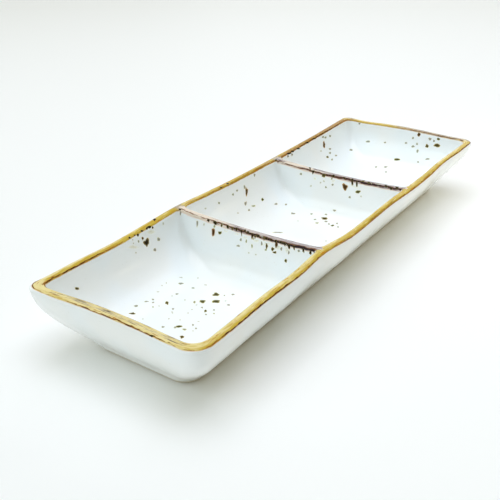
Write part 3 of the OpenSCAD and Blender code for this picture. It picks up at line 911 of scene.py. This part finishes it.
near_divider_spots = [
    (221.5, 225.6, 2, 3.6, dark), (232.3, 228.6, 2.2, 4, dark), (255, 236.6, 1.8, 4, dark),
    (264, 238.4, 1.8, 4, dark), (180.5, 213, 1.4, 4.5, plain), (197.3, 223.6, 1.8, 5.5, plain),
    (204, 224.5, 1.2, 3.4, faint), (208.3, 220.5, 2.8, 4.2, deep), (215, 222.9, 3.7, 6, deep),
    (214.5, 226, 2.4, 4, olive), (213.3, 232.4, 2.8, 7.4, brown), (219.9, 232.8, 3, 3, dark),
    (222.7, 223.6, 3, 3, olive), (227.6, 226.9, 3, 5, deep), (231, 228.5, 2.6, 5, stain),
    (236.3, 229.1, 3, 4.6, deep), (241.3, 231.5, 2.2, 6.6, deep), (245, 230.9, 2.6, 3.8, deep),
    (248, 232.5, 2.8, 4, deep), (252.2, 235.3, 2.6, 6, deep), (253.3, 238.2, 1.8, 3.4, olive),
    (258, 235.9, 3.6, 4, deep), (262, 236.6, 3, 2, plain), (266.5, 238.5, 3.4, 3.8, deep),
    (271, 239.9, 2.8, 3.6, deep), (275.5, 241.3, 3.4, 4, deep), (276.4, 244.4, 2.6, 7, brown),
    (272.6, 249.2, 2.6, 3.6, dark), (274.7, 252.4, 3.2, 2.2, dark), (280.8, 242.3, 3, 3.8, deep),
    (284.4, 243.7, 3, 4.2, deep), (286.6, 245, 1.6, 3.6, olive), (289.2, 246.1, 2.6, 6.2, deep),
    (240.8, 239.6, 1.8, 3, plain), (246.3, 241.2, 1.6, 3.8, olive), (238.3, 245.8, 3, 2, plain),
    (252, 246, 1.6, 4.6, olive), (248.8, 252.9, 1.8, 1.6, faint), (255.8, 254.6, 1.6, 1.6, faint),
    (261.7, 243.4, 1.6, 4, plain), (266.7, 246, 2, 5.4, dark), (265.8, 249.8, 2, 2.4, olive),
    (281.3, 248.8, 2, 3, plain), (288.8, 252.5, 1.6, 3.6, plain), (285.8, 260.8, 2.4, 3, dark),
    (298.8, 250.8, 2.4, 2.4, plain), (294, 247.3, 2.2, 4.6, deep), (303.5, 250.3, 2.2, 4.2, deep),
    (310.5, 252.5, 2.2, 4.6, deep), (226, 229.5, 5, 6, stain), (237, 232, 7, 7, stain),
    (246, 235, 7, 8, stain), (256, 238.5, 8, 7, stain), (267, 242, 8, 8, stain), (277.5, 246, 8, 9, stain),
    (287.5, 249, 7, 8, stain),
]
middle_basin_spots = [
    (237, 190.5, 2, 2, plain), (233, 194.5, 2, 2, plain), (244.5, 187, 1.6, 4, plain),
    (246.5, 192, 2, 8, brown), (254.5, 175, 1.6, 3, plain), (219, 203, 2, 2, plain),
    (205.5, 208.5, 2, 2, faint), (245.5, 203.5, 2, 4, plain), (253.5, 206, 4, 2, olive),
    (262.5, 199.5, 2, 3, dark), (249, 210, 2, 2, plain), (238, 213, 2, 1.6, faint), (276, 204, 3, 1.8, plain),
    (286, 204.5, 2, 1.6, plain), (293, 213.5, 4, 1.8, plain), (311.5, 214, 2.4, 1.6, plain),
    (298, 221, 2, 1.2, faint), (334.5, 210.5, 3, 1.8, plain), (326, 214.5, 2.4, 1.6, plain),
    (324.5, 218.5, 6, 2.2, dark), (315, 219.5, 2.4, 1.4, plain), (317, 223, 4, 1.6, olive),
    (326, 221.5, 3, 1.6, plain), (329, 224, 2.2, 1.4, plain), (332.5, 225.5, 3, 1.6, dark),
    (337, 223.5, 2, 1.4, plain), (338, 227, 2, 1.4, plain), (326, 241, 2, 1.4, faint),
    (278, 232.5, 9, 1.1, plain),
]
far_divider_spots = [
    (310, 168.1, 1.9, 3.6, deep), (313, 171.7, 3.1, 4.2, deep), (323.8, 175.2, 4.6, 3.4, dark),
    (315, 178.5, 3, 3, stain), (333.4, 175.9, 2.8, 4, deep), (331.9, 178.2, 2.2, 3.8, olive),
    (344.3, 177.9, 3.2, 3.2, deep), (352.2, 179.9, 3.2, 3.6, deep), (352.3, 182.7, 1.9, 5.8, deep),
    (356.9, 183.5, 1.9, 6.8, deep), (345, 187.2, 4.4, 6, brown), (358, 191.8, 4.4, 2.8, dark),
    (349.7, 197.2, 2.4, 2, plain), (361, 196.4, 1.8, 1.6, faint), (363, 181, 4, 1.8, dark),
    (368.8, 182.6, 3, 2.4, dark), (371.6, 183.4, 1.6, 2.6, olive), (378, 184, 4, 1.6, plain),
    (386, 186.1, 3.2, 3.6, deep), (391, 188.5, 2.8, 3.6, deep), (397, 187.7, 3.5, 3.6, deep),
    (301, 174, 2, 2.2, plain), (320.5, 182.6, 1.8, 1.8, faint), (323.9, 181.2, 2, 1.8, faint),
    (311, 186, 2, 1.8, faint), (325.9, 187.2, 1.8, 1.8, plain), (332.6, 184.7, 2, 1.8, plain),
    (355, 184, 10, 9, stain), (333, 179, 6, 7, stain), (369, 185, 6, 5, stain), (388, 189, 7, 5, stain),
]
far_basin_spots = [
    (323, 137, 2, 2, plain), (325.5, 137.5, 2, 2, plain), (330, 136, 2, 2, plain), (324, 145, 2, 6, brown),
    (330, 149, 2, 2, plain), (321, 151, 1.8, 1.8, faint), (330, 153, 2, 2, plain), (327.5, 157, 2.2, 2, dark),
    (332, 159.5, 2, 1.6, plain), (336, 155.5, 2, 1.6, plain), (351, 150, 3, 1.8, plain),
    (359.5, 123.5, 2, 2, plain), (368, 141.5, 4, 1.8, plain), (385, 142.5, 2, 1.6, plain),
    (419, 134.5, 3, 4, brown), (430, 139, 3, 2.4, plain), (438.5, 139, 3, 2.4, dark), (434, 141, 2, 2, plain),
    (437, 145.5, 6, 3, dark), (427, 146, 3, 3, dark), (417, 144, 2, 2, plain), (413, 146.5, 3, 2, plain),
    (413, 138, 2, 2, plain), (406, 143, 2, 1.8, plain), (417.5, 151, 2, 3, plain),
    (427.5, 159, 4, 1.6, plain), (418, 162, 2, 1.4, plain), (397, 159.5, 6, 2, dark),
    (385.5, 167, 4, 1.4, plain), (376, 167, 2.4, 1.4, plain), (386, 172, 2, 1.4, plain),
    (288, 156, 1.6, 3, plain), (292, 154.5, 1.6, 3, plain),
]
rim_spots = [
    (154.4, 219.6, 3.8, 2.8, brown), (129.5, 237.6, 3, 2.2, dark), (134.6, 235.2, 2, 1.8, dark),
    (137.9, 234.8, 2.4, 3.2, dark), (141.9, 231, 3.2, 2.4, dark), (149, 227, 5.4, 3.4, dark),
    (146.8, 228.6, 2.6, 2.4, dark), (152.6, 227.4, 1.8, 2.4, dark), (180, 209.5, 3, 2, dark),
    (221, 187.5, 3, 1.6, dark), (227.5, 183.5, 3, 1.6, dark), (276, 160, 3, 1.8, dark),
    (289, 153.4, 5, 2.6, deep), (292.5, 151.4, 4, 2.2, deep), (298, 148.6, 5, 1.6, dark),
    (307, 142.6, 6, 1.6, dark), (314, 138.6, 5, 1.4, dark), (324, 132.6, 3, 1.4, olive),
    (152, 336, 6, 2.2, brown),
]


# Materials

def linear(*screen):
    """Colour written as three 8-bit screen values."""
    shares = [c / 255 for c in screen]
    return tuple(((c + 0.055) / 1.055) ** 2.4 if c > 0.04 else c / 12.92 for c in shares) + (1,)


class Nodes:
    """Helper that adds nodes to a tree."""

    def __init__(self, tree):
        self.tree = tree

    def fill(self, node, inputs):
        """Links a node's inputs to other sockets, or gives them values."""
        for key, value in inputs.items():
            if isinstance(value, bpy.types.NodeSocket):
                self.tree.links.new(value, node.inputs[key])
            else:
                node.inputs[key].default_value = value

    def node(self, kind, inputs, **settings):
        made = self.tree.nodes.new(kind)
        for key, value in settings.items():
            setattr(made, key, value)
        self.fill(made, inputs)
        return made


class Shade(Nodes):
    """Helper that builds one node material."""

    def __init__(self, name):
        self.material = bpy.data.materials.new(name)
        self.material.use_nodes = True
        super().__init__(self.material.node_tree)
        self.shader = self.tree.nodes["Principled BSDF"]

    def math(self, operation, a, b):
        return self.node("ShaderNodeMath", {0: a, 1: b}, operation=operation).outputs[0]

    def disturbed(self, value, noise, gain):
        """A value with a noise added that swings about zero, times a gain."""
        return self.math("ADD", value, self.math("MULTIPLY", self.math("SUBTRACT", noise, 0.5), gain))

    def mix(self, factor, a, b):
        return self.node("ShaderNodeMix", {0: factor, 6: a, 7: b}, data_type="RGBA").outputs[2]

    def smooth(self, value, low, high):
        """Soft step from 0 at low to 1 at high."""
        limits = {0: value, 1: low, 2: high}
        return self.node("ShaderNodeMapRange", limits, interpolation_type="SMOOTHSTEP").outputs[0]

    def noise(self, vector, scale, detail=2.0, rough=0.5, distortion=0.0):
        made = self.node("ShaderNodeTexNoise", {"Vector": vector, "Scale": scale, "Detail": detail,
                                                "Roughness": rough, "Distortion": distortion})
        return made.outputs[0]

    def scaled(self, vector, *scale):
        return self.node("ShaderNodeVectorMath", {0: vector, 1: scale}, operation="MULTIPLY").outputs[0]

    def streaks(self, place, along, across, detail=3, distortion=0.0):
        """Noise drawn out along the painted band, by its fineness along and across it."""
        return self.noise(self.scaled(place, along, across, 1), 1.0, detail, streak_rough, distortion)

    def attribute(self, name):
        return self.node("ShaderNodeAttribute", {}, attribute_name=name)

    def channels(self, attribute):
        """Red, green and blue of an attribute."""
        return self.node("ShaderNodeSeparateColor", {0: attribute.outputs["Color"]}).outputs[:3]

    def place(self):
        return self.node("ShaderNodeTexCoord", {}).outputs["Object"]

    def surface(self, **values):
        """Links or sets inputs of the shader, named with underscores for spaces."""
        self.fill(self.shader, {key.replace("_", " "): value for key, value in values.items()})

    def bump(self, height, strength, distance):
        made = self.node("ShaderNodeBump", {"Height": height, "Strength": strength, "Distance": distance})
        self.surface(Normal=made.outputs[0])


white_cool, white_warm, white_grain = linear(246, 251, 253), linear(248, 250, 249), linear(226, 226, 216)
glaze_ior, white_sheen, painted_sheen, grain_strength = 1.5, 0.5, 0.08, 0.35
least_rough, most_rough, streak_rough = 0.1, 0.2, 0.6
blush = linear(242, 222, 208)
rim_palette = {
    "pale": linear(236, 220, 158), "gold": linear(200, 172, 62), "deep": linear(152, 108, 18),
    "amber": linear(194, 122, 26), "violets": (linear(196, 178, 152), linear(112, 102, 86)),
    "line_soft": linear(156, 106, 34), "line_dark": linear(66, 34, 12), "line_noise": 1.6,
}
crest_palette = {
    "pale": linear(232, 218, 200), "gold": linear(220, 194, 168), "deep": linear(220, 194, 168),
    "amber": linear(204, 184, 164), "violets": (linear(196, 184, 182), linear(104, 92, 98)),
    "line_soft": linear(136, 92, 62), "line_dark": linear(46, 32, 36), "line_noise": 1.5,
}
halo_olive, halo_brown = linear(232, 230, 176), linear(236, 204, 160)
edge_olive, edge_brown = linear(140, 138, 72), linear(150, 106, 62)
core_olive, core_brown, core_black = linear(86, 86, 50), linear(84, 56, 28), linear(36, 26, 6)
clay_dark, clay_pale, clay_speck = linear(206, 198, 182), linear(222, 216, 202), linear(150, 134, 112)
clay_rough = 0.85

# Fineness of each noise, in cells to the metre
cloud_scale, grain_scale, patch_scale, ripple_scale, ragged_scale = 45, 900, 160, 70, 2600
clay_cloud_scale, clay_speck_scale, clay_grain_scale = 220, 2200, 3000

# Values between which a noise comes in
cloud_range, grain_range, clay_speck_range = (0.35, 0.65), (0.66, 0.8), (0.62, 0.74)
patch_low, patch_high = 0.3, 0.7

# Depths of a spot, from its edge in, between which its cover, its edge, its core and its black come in
cover_range, edge_range, core_range, black_range = (0.06, 0.3), (0.22, 0.42), (0.4, 0.7), (0.85, 1.15)


def white_glaze(shade):
    """Colour of the white glaze: faint clouds of cooler and warmer white, and pinholes hardly darker."""
    place = shade.place()
    clouds = shade.smooth(shade.noise(place, cloud_scale), *cloud_range)
    grain = shade.smooth(shade.noise(place, grain_scale), *grain_range)
    tint = shade.mix(clouds, white_cool, white_warm)
    return shade.mix(shade.math("MULTIPLY", grain, grain_strength), tint, white_grain)


def glaze_surface(shade, colour, sheen):
    """Gloss of the glaze, with the slow ripple that a dipped glaze has."""
    place = shade.place()
    patches = shade.noise(place, patch_scale)
    limits = {0: patches, 1: patch_low, 2: patch_high, 3: least_rough, 4: most_rough}
    gloss = shade.node("ShaderNodeMapRange", limits).outputs[0]
    shade.surface(Base_Color=colour, Roughness=gloss, IOR=glaze_ior, Specular_IOR_Level=sheen)
    shade.bump(shade.noise(place, ripple_scale), strength=0.25, distance=0.0004)
    return shade.material


def make_white():
    shade = Shade("white_glaze")
    return glaze_surface(shade, white_glaze(shade), white_sheen)


def make_painted(name, palette, place_name=None):
    """Painted glaze over white: streaked body, violet runs and dark lines, from the piece's paint strengths.
    The streaks follow a named attribute or run across the dish."""
    shade = Shade(name)
    paint = shade.attribute("paint")
    line, white_share, violet_share = shade.channels(paint)
    if place_name:
        place = shade.attribute(place_name).outputs["Vector"]
    else:
        quarter = shade.node("ShaderNodeMapping", {0: shade.place(), 2: (0, 0, math.radians(90))}).outputs[0]
        place = shade.scaled(quarter, 1 / MM, 1 / MM, 1 / MM)
    broad = shade.streaks(place, along=0.12, across=0.5, distortion=0.4)
    fine = shade.streaks(place, along=0.17, across=1.9, detail=4, distortion=0.3)
    grain = shade.streaks(place, along=0.3, across=1.2)
    noisy_gold = shade.disturbed(paint.outputs["Alpha"], broad, gain=1.8)
    noisy_violet = shade.disturbed(violet_share, fine, gain=1.6)
    noisy_line = shade.disturbed(line, grain, palette["line_noise"])
    noisy_white = shade.disturbed(white_share, grain, gain=0.9)
    runs = shade.mix(shade.smooth(fine, low=0.44, high=0.66), *palette["violets"])
    body = palette["pale"]
    # What each layer follows, the value where it starts, the value where it is full, and its colour
    layers = [
        (noisy_gold, 0.1, 0.9, palette["gold"]), (noisy_gold, 0.9, 1.8, palette["deep"]),
        (fine, 0.55, 0.68, palette["amber"]), (fine, 0.42, 0.28, palette["pale"]),
        (noisy_violet, 0.3, 0.8, runs),
        (noisy_line, 0.3, 0.65, palette["line_soft"]), (noisy_line, 0.6, 1.0, palette["line_dark"]),
        (noisy_white, 0.15, 0.5, blush), (noisy_white, 0.4, 0.9, white_glaze(shade)),
    ]
    for value, low, high, colour in layers:
        body = shade.mix(shade.smooth(value, low, high), body, colour)
    return glaze_surface(shade, body, painted_sheen)


def make_iron():
    """Iron spots and drips: dark in the middle, olive or brown round it, and white at the edge."""
    shade = Shade("iron_spots")
    spot = shade.attribute("spot")
    depth, tint, strength = shade.channels(spot)
    on_rim = spot.outputs["Alpha"]
    ragged = shade.disturbed(depth, shade.noise(shade.place(), ragged_scale), gain=0.5)
    halo = shade.mix(tint, halo_olive, halo_brown)
    edge = shade.mix(tint, edge_olive, edge_brown)
    core = shade.mix(on_rim, shade.mix(tint, core_olive, core_brown), core_black)
    core = shade.mix(shade.smooth(ragged, *black_range), core, core_black)
    body = shade.mix(shade.smooth(ragged, *edge_range), halo, edge)
    body = shade.mix(shade.smooth(ragged, *core_range), body, core)
    cover = shade.math("MULTIPLY", shade.smooth(ragged, *cover_range), strength)
    base = shade.mix(on_rim, white_glaze(shade), rim_palette["gold"])
    return glaze_surface(shade, shade.mix(cover, base, body), painted_sheen)


def make_clay():
    shade = Shade("bare_stoneware")
    place = shade.place()
    cloud = shade.mix(shade.noise(place, clay_cloud_scale, detail=3), clay_dark, clay_pale)
    speck = shade.smooth(shade.noise(place, clay_speck_scale), *clay_speck_range)
    shade.surface(Base_Color=shade.mix(speck, cloud, clay_speck), Roughness=clay_rough)
    shade.bump(shade.noise(place, clay_grain_scale, detail=3), strength=0.4, distance=0.0001)
    return shade.material


# Stage and light: sizes and distances in metres

floor_half = 4.0
floor_colour, floor_rough, floor_sheen = linear(250, 250, 248), 0.6, 0.2
backdrop_colour = linear(253, 255, 255)
room_colour = (1.0, 0.96, 0.67, 1)
room_strength, mirrored_strength = 0.25, 0.7
lamp_distance = 2.2
lamp_aim = (0.05, -0.01, 0.0)
# Name, heading and height in degrees, size, power, colour and distance
lamps = [
    ("softbox_top", 0, 90, 2.0, 20.0, (0.79, 0.87, 1.0)),
    ("softbox_back_left", 80, 58, 1.4, 4.0),
    ("fill_left_near", 157, 38, 1.4, 11.7, (0.77, 0.91, 1.0)),
    ("fill_low_far", 22, 12, 1.4, 7.8, (0.93, 0.95, 1.0)),
    ("fill_low_left_near", 157, 12, 1.4, 3.7),
    ("softbox_over_far_end", 10, 71, 0.8, 2.6, (0.83, 0.85, 1.0), 0.85),
    ("softbox_over_near_end", 260, 73, 0.3, 0.11, (1.0, 1.0, 1.0), 0.42),
    ("reflector_right_far", 310, 15, 0.12, 0.077, (1.0, 0.92, 0.74), 0.27),
]


def add_stage():
    mesh = bpy.data.meshes.new("floor")
    corners = [(x * floor_half, y * floor_half, 0) for x, y in ((-1, -1), (1, -1), (1, 1), (-1, 1))]
    mesh.from_pydata(corners, [], [(0, 1, 2, 3)])
    floor = add_object("floor", mesh)
    shade = Shade("floor")
    shade.surface(Base_Color=floor_colour, Roughness=floor_rough, Specular_IOR_Level=floor_sheen)
    mesh.materials.append(shade.material)


def add_lamp(name, heading, height, size, power, colour=(1, 1, 1), distance=lamp_distance):
    """Square soft lamp that looks at the dish."""
    data = bpy.data.lights.new(name, "AREA")
    data.size, data.energy, data.color = size, power, colour
    lamp = add_object(name, data)
    lamp.location = direction(heading, height) * distance
    lamp.rotation_euler = (lamp.location - Vector(lamp_aim)).to_track_quat("Z", "Y").to_euler()
    lamp.visible_camera = False


def add_light():
    """White backdrop for the camera, a dim warm room that the glaze mirrors more strongly, and the lamps."""
    world = bpy.data.worlds.new("world")
    world.use_nodes = True
    world.node_tree.nodes.clear()
    nodes = Nodes(world.node_tree)
    rays = nodes.node("ShaderNodeLightPath", {}).outputs
    strengths = {0: rays["Is Glossy Ray"], 3: room_strength, 4: mirrored_strength}
    level = nodes.node("ShaderNodeMapRange", strengths).outputs[0]
    room = nodes.node("ShaderNodeBackground", {0: room_colour, 1: level}).outputs[0]
    backdrop = nodes.node("ShaderNodeBackground", {0: backdrop_colour}).outputs[0]
    either = nodes.node("ShaderNodeMixShader", {0: rays["Is Camera Ray"], 1: room, 2: backdrop})
    nodes.node("ShaderNodeOutputWorld", {0: either.outputs[0]})
    bpy.context.scene.world = world
    for lamp in lamps:
        add_lamp(*lamp)


# Assembly

def dress(piece, material, slot):
    piece.data.materials.append(material)


skin = build_skin()
white = make_white()
rim_glaze = make_painted("rim_glaze", rim_palette, "rim_place")
crest_glaze = make_painted("crest_glaze", crest_palette)

# Name, CAD node, material, slot and painter of each piece of the skin
coats = [
    ("glazed_shell", "dish_shell", white, "white_glaze", None),
    ("near_divider_glaze", "near_divider", white, "white_glaze", None),
    ("far_divider_glaze", "far_divider", white, "white_glaze", None),
    ("glazed_rim", "rim_band", rim_glaze, "amber_glaze", paint_rim),
    ("near_crest_glaze", "near_divider_crest", crest_glaze, "violet_brown_glaze", paint_crest(0)),
    ("far_crest_glaze", "far_divider_crest", crest_glaze, "violet_brown_glaze", paint_crest(1)),
]
for name, node, material, slot, paint in coats:
    dress(cut_piece(skin, name, node, paint), material, slot)
dress(add_foot_ring(), make_clay(), "bare_stoneware")

# Hidden spots: where they are splashed from, the range of headings and pitches, and how many
right_wall = ((-130, -50), (-28, 8))
divider_front = ((160, 205), (-14, 6))
spot_groups = [
    ("near_basin_speckles", near_basin_spots,
     [((-80, -5, 22), *right_wall, 26), ((-85, 0, 22), (150, 210), (-30, 8), 16)]),
    ("near_divider_drips", near_divider_spots, [((-10, 0, 22), *divider_front, 26)]),
    ("middle_basin_speckles", middle_basin_spots, [((0, -5, 22), *right_wall, 22)]),
    ("far_divider_drips", far_divider_spots, [((70, 0, 22), *divider_front, 22)]),
    ("far_basin_speckles", far_basin_spots, [((80, -5, 22), *right_wall, 22)]),
    ("rim_marks", rim_spots, []),
]
iron = make_iron()
for order, (name, spots, splashes) in enumerate(spot_groups):
    group = Speckles(skin, SEED + order)
    for spot in spots:
        group.add_seen(*spot, on_rim=name == "rim_marks")
    for splash in splashes:
        group.splash(*splash)
    group.piece(name, iron)

add_camera()
add_stage()
add_light()
bpy.context.scene.view_settings.view_transform = "Standard"
